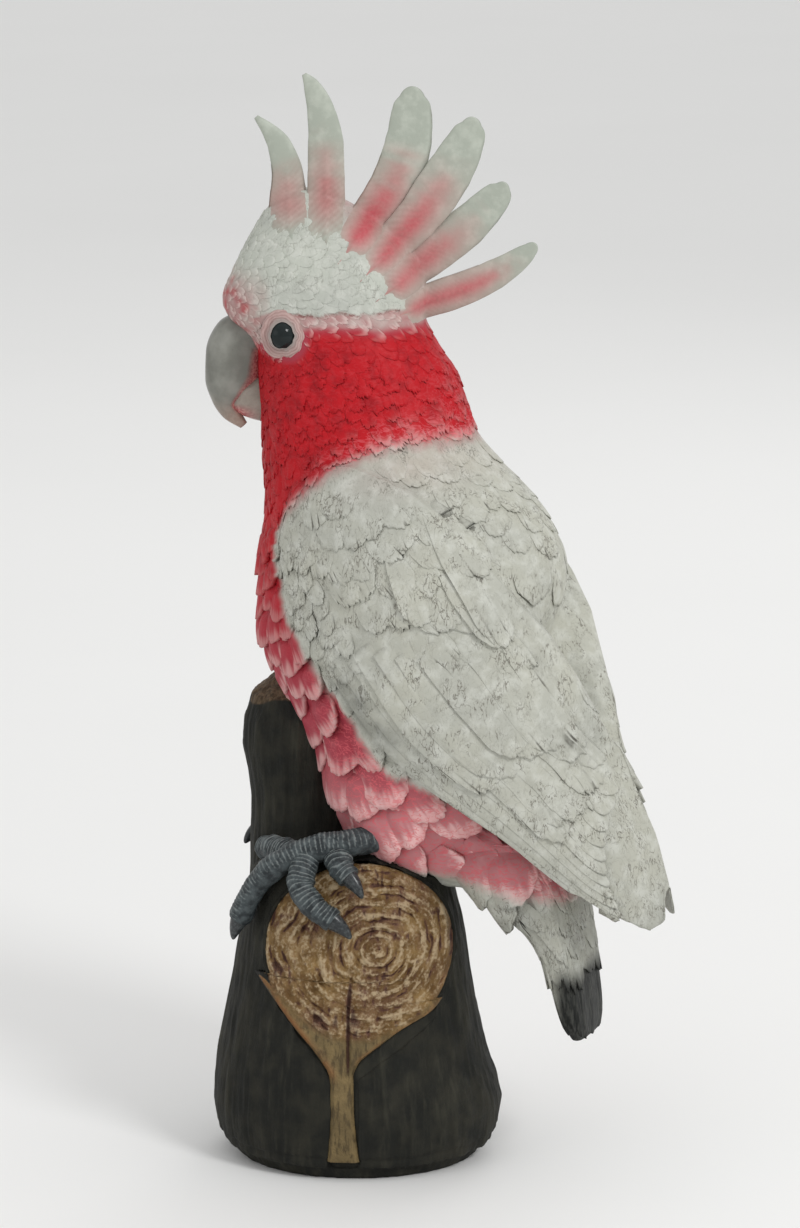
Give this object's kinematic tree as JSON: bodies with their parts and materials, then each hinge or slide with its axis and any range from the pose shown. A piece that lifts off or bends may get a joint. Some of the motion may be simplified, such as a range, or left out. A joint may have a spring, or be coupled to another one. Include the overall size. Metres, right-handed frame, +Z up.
{
  "type": "galah statue on tree stump",
  "caption": "Painted cast-resin figure of a galah with its crest raised, standing upright on a tree stump with a sawn knot.",
  "frame": {"origin": "centre of the bounding box's footprint, on the surface that the stump stands on", "axes": "+Z up; the bird's head looks along -X and the sawn knot faces -Y"},
  "size_m": [0.193, 0.1166, 0.4487],
  "materials": {
    "white_paint": "satin off-white paint on cast resin, dark wash in the recesses",
    "grey_white_paint": "satin grey-white paint on cast resin, dark wash between the feathers",
    "red_paint": "satin crimson paint on cast resin, pink dry-brushed edges",
    "pink_paint": "satin rose-pink paint on cast resin, pale dry-brushed edges",
    "bill_paint": "semi-gloss horn-grey paint",
    "eye_gloss": "high gloss, near black",
    "foot_paint": "satin dark slate paint, lighter on the scutes",
    "bark_paint": "matt blackish bark paint over brown",
    "sawn_wood_paint": "satin tan and brown paint, umber wash in the rings"
  },
  "bodies": {
    "root": {"bill_lower": "bill_paint", "bill_upper": "bill_paint", "claw_left_1": "foot_paint", "claw_left_2": "foot_paint", "claw_left_3": "foot_paint", "claw_left_4": "foot_paint", "claw_right_1": "foot_paint", "claw_right_2": "foot_paint", "claw_right_3": "foot_paint", "crest_1": "white_paint", "crest_2": "white_paint", "crest_3": "white_paint", "crest_4": "white_paint", "crest_5": "white_paint", "crest_6": "white_paint", "eye_left": "eye_gloss", "eye_right": "eye_gloss", "head": "white_paint", "leg_left": "foot_paint", "leg_right": "foot_paint", "neck": "red_paint", "sawn_knot": "sawn_wood_paint", "stump": "bark_paint", "tail": "grey_white_paint", "trunk": "pink_paint", "wing_left": "grey_white_paint", "wing_right": "grey_white_paint"}
  },
  "joints": []
}
